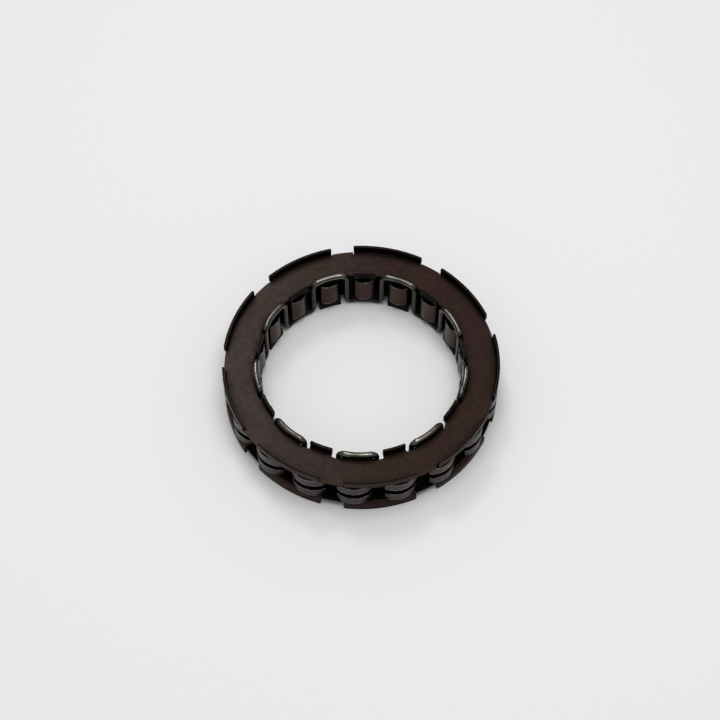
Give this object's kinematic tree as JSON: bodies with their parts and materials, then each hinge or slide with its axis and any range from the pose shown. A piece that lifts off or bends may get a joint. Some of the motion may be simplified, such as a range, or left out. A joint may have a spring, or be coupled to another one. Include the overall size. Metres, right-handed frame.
{
  "type": "sprag clutch",
  "caption": "Caged sprag clutch insert: a ring of cam sprags between two pressed, tabbed side plates, held by a bright meander wire and a garter spring.",
  "frame": {"origin": "on the clutch axis at mid width", "axes": "+Z along the clutch axis out of the upper side plate, +X through the middle of an outer tab, -Y towards the viewer of the front"},
  "size_m": [0.0583, 0.0586, 0.0114],
  "materials": {
    "black_oxide_plate": "satin black oxide on pressed sheet, plum brown with faint mottling",
    "spring_wire": "smooth oiled spring wire, dark with bright streaks, finely nicked",
    "spring_coil": "dull spring steel",
    "sprag_steel": "satin ground bearing steel, dark warm grey, browner on the inner cams"
  },
  "bodies": {
    "cage": {"upper_side_plate": "black_oxide_plate", "lower_side_plate": "black_oxide_plate", "meander_spring": "spring_wire", "garter_spring": "spring_coil"},
    "sprag_01_body": {"sprag_01": "sprag_steel"},
    "sprag_02_body": {"sprag_02": "sprag_steel"},
    "sprag_03_body": {"sprag_03": "sprag_steel"},
    "sprag_04_body": {"sprag_04": "sprag_steel"},
    "sprag_05_body": {"sprag_05": "sprag_steel"},
    "sprag_06_body": {"sprag_06": "sprag_steel"},
    "sprag_07_body": {"sprag_07": "sprag_steel"},
    "sprag_08_body": {"sprag_08": "sprag_steel"},
    "sprag_09_body": {"sprag_09": "sprag_steel"},
    "sprag_10_body": {"sprag_10": "sprag_steel"},
    "sprag_11_body": {"sprag_11": "sprag_steel"},
    "sprag_12_body": {"sprag_12": "sprag_steel"},
    "sprag_13_body": {"sprag_13": "sprag_steel"},
    "sprag_14_body": {"sprag_14": "sprag_steel"},
    "sprag_15_body": {"sprag_15": "sprag_steel"},
    "sprag_16_body": {"sprag_16": "sprag_steel"},
    "sprag_17_body": {"sprag_17": "sprag_steel"},
    "sprag_18_body": {"sprag_18": "sprag_steel"}
  },
  "joints": [
    {"name": "sprag_01_tilt", "type": "hinge", "parent": "cage", "child": "sprag_01_body", "pos_m": [0.02475, 0.00436, 0], "axis": [0, 0, 1], "range_deg": [-4, 6], "stiffness_Nm_per_rad": 0.002},
    {"name": "sprag_02_tilt", "type": "hinge", "parent": "cage", "child": "sprag_02_body", "pos_m": [0.02176, 0.01256, 0], "axis": [0, 0, 1], "range_deg": [-4, 6], "stiffness_Nm_per_rad": 0.002},
    {"name": "sprag_03_tilt", "type": "hinge", "parent": "cage", "child": "sprag_03_body", "pos_m": [0.01615, 0.01925, 0], "axis": [0, 0, 1], "range_deg": [-4, 6], "stiffness_Nm_per_rad": 0.002},
    {"name": "sprag_04_tilt", "type": "hinge", "parent": "cage", "child": "sprag_04_body", "pos_m": [0.0086, 0.02361, 0], "axis": [0, 0, 1], "range_deg": [-4, 6], "stiffness_Nm_per_rad": 0.002},
    {"name": "sprag_05_tilt", "type": "hinge", "parent": "cage", "child": "sprag_05_body", "pos_m": [0, 0.02513, 0], "axis": [0, 0, 1], "range_deg": [-4, 6], "stiffness_Nm_per_rad": 0.002},
    {"name": "sprag_06_tilt", "type": "hinge", "parent": "cage", "child": "sprag_06_body", "pos_m": [-0.0086, 0.02361, 0], "axis": [0, 0, 1], "range_deg": [-4, 6], "stiffness_Nm_per_rad": 0.002},
    {"name": "sprag_07_tilt", "type": "hinge", "parent": "cage", "child": "sprag_07_body", "pos_m": [-0.01615, 0.01925, 0], "axis": [0, 0, 1], "range_deg": [-4, 6], "stiffness_Nm_per_rad": 0.002},
    {"name": "sprag_08_tilt", "type": "hinge", "parent": "cage", "child": "sprag_08_body", "pos_m": [-0.02176, 0.01256, 0], "axis": [0, 0, 1], "range_deg": [-4, 6], "stiffness_Nm_per_rad": 0.002},
    {"name": "sprag_09_tilt", "type": "hinge", "parent": "cage", "child": "sprag_09_body", "pos_m": [-0.02475, 0.00436, 0], "axis": [0, 0, 1], "range_deg": [-4, 6], "stiffness_Nm_per_rad": 0.002},
    {"name": "sprag_10_tilt", "type": "hinge", "parent": "cage", "child": "sprag_10_body", "pos_m": [-0.02475, -0.00436, 0], "axis": [0, 0, 1], "range_deg": [-4, 6], "stiffness_Nm_per_rad": 0.002},
    {"name": "sprag_11_tilt", "type": "hinge", "parent": "cage", "child": "sprag_11_body", "pos_m": [-0.02176, -0.01256, 0], "axis": [0, 0, 1], "range_deg": [-4, 6], "stiffness_Nm_per_rad": 0.002},
    {"name": "sprag_12_tilt", "type": "hinge", "parent": "cage", "child": "sprag_12_body", "pos_m": [-0.01615, -0.01925, 0], "axis": [0, 0, 1], "range_deg": [-4, 6], "stiffness_Nm_per_rad": 0.002},
    {"name": "sprag_13_tilt", "type": "hinge", "parent": "cage", "child": "sprag_13_body", "pos_m": [-0.0086, -0.02361, 0], "axis": [0, 0, 1], "range_deg": [-4, 6], "stiffness_Nm_per_rad": 0.002},
    {"name": "sprag_14_tilt", "type": "hinge", "parent": "cage", "child": "sprag_14_body", "pos_m": [0, -0.02513, 0], "axis": [0, 0, 1], "range_deg": [-4, 6], "stiffness_Nm_per_rad": 0.002},
    {"name": "sprag_15_tilt", "type": "hinge", "parent": "cage", "child": "sprag_15_body", "pos_m": [0.0086, -0.02361, 0], "axis": [0, 0, 1], "range_deg": [-4, 6], "stiffness_Nm_per_rad": 0.002},
    {"name": "sprag_16_tilt", "type": "hinge", "parent": "cage", "child": "sprag_16_body", "pos_m": [0.01615, -0.01925, 0], "axis": [0, 0, 1], "range_deg": [-4, 6], "stiffness_Nm_per_rad": 0.002},
    {"name": "sprag_17_tilt", "type": "hinge", "parent": "cage", "child": "sprag_17_body", "pos_m": [0.02176, -0.01256, 0], "axis": [0, 0, 1], "range_deg": [-4, 6], "stiffness_Nm_per_rad": 0.002},
    {"name": "sprag_18_tilt", "type": "hinge", "parent": "cage", "child": "sprag_18_body", "pos_m": [0.02475, -0.00436, 0], "axis": [0, 0, 1], "range_deg": [-4, 6], "stiffness_Nm_per_rad": 0.002}
  ],
  "couplings": [
    {"joint": "sprag_02_tilt", "follows": "sprag_01_tilt", "ratio": 1},
    {"joint": "sprag_03_tilt", "follows": "sprag_01_tilt", "ratio": 1},
    {"joint": "sprag_04_tilt", "follows": "sprag_01_tilt", "ratio": 1},
    {"joint": "sprag_05_tilt", "follows": "sprag_01_tilt", "ratio": 1},
    {"joint": "sprag_06_tilt", "follows": "sprag_01_tilt", "ratio": 1},
    {"joint": "sprag_07_tilt", "follows": "sprag_01_tilt", "ratio": 1},
    {"joint": "sprag_08_tilt", "follows": "sprag_01_tilt", "ratio": 1},
    {"joint": "sprag_09_tilt", "follows": "sprag_01_tilt", "ratio": 1},
    {"joint": "sprag_10_tilt", "follows": "sprag_01_tilt", "ratio": 1},
    {"joint": "sprag_11_tilt", "follows": "sprag_01_tilt", "ratio": 1},
    {"joint": "sprag_12_tilt", "follows": "sprag_01_tilt", "ratio": 1},
    {"joint": "sprag_13_tilt", "follows": "sprag_01_tilt", "ratio": 1},
    {"joint": "sprag_14_tilt", "follows": "sprag_01_tilt", "ratio": 1},
    {"joint": "sprag_15_tilt", "follows": "sprag_01_tilt", "ratio": 1},
    {"joint": "sprag_16_tilt", "follows": "sprag_01_tilt", "ratio": 1},
    {"joint": "sprag_17_tilt", "follows": "sprag_01_tilt", "ratio": 1},
    {"joint": "sprag_18_tilt", "follows": "sprag_01_tilt", "ratio": 1}
  ]
}
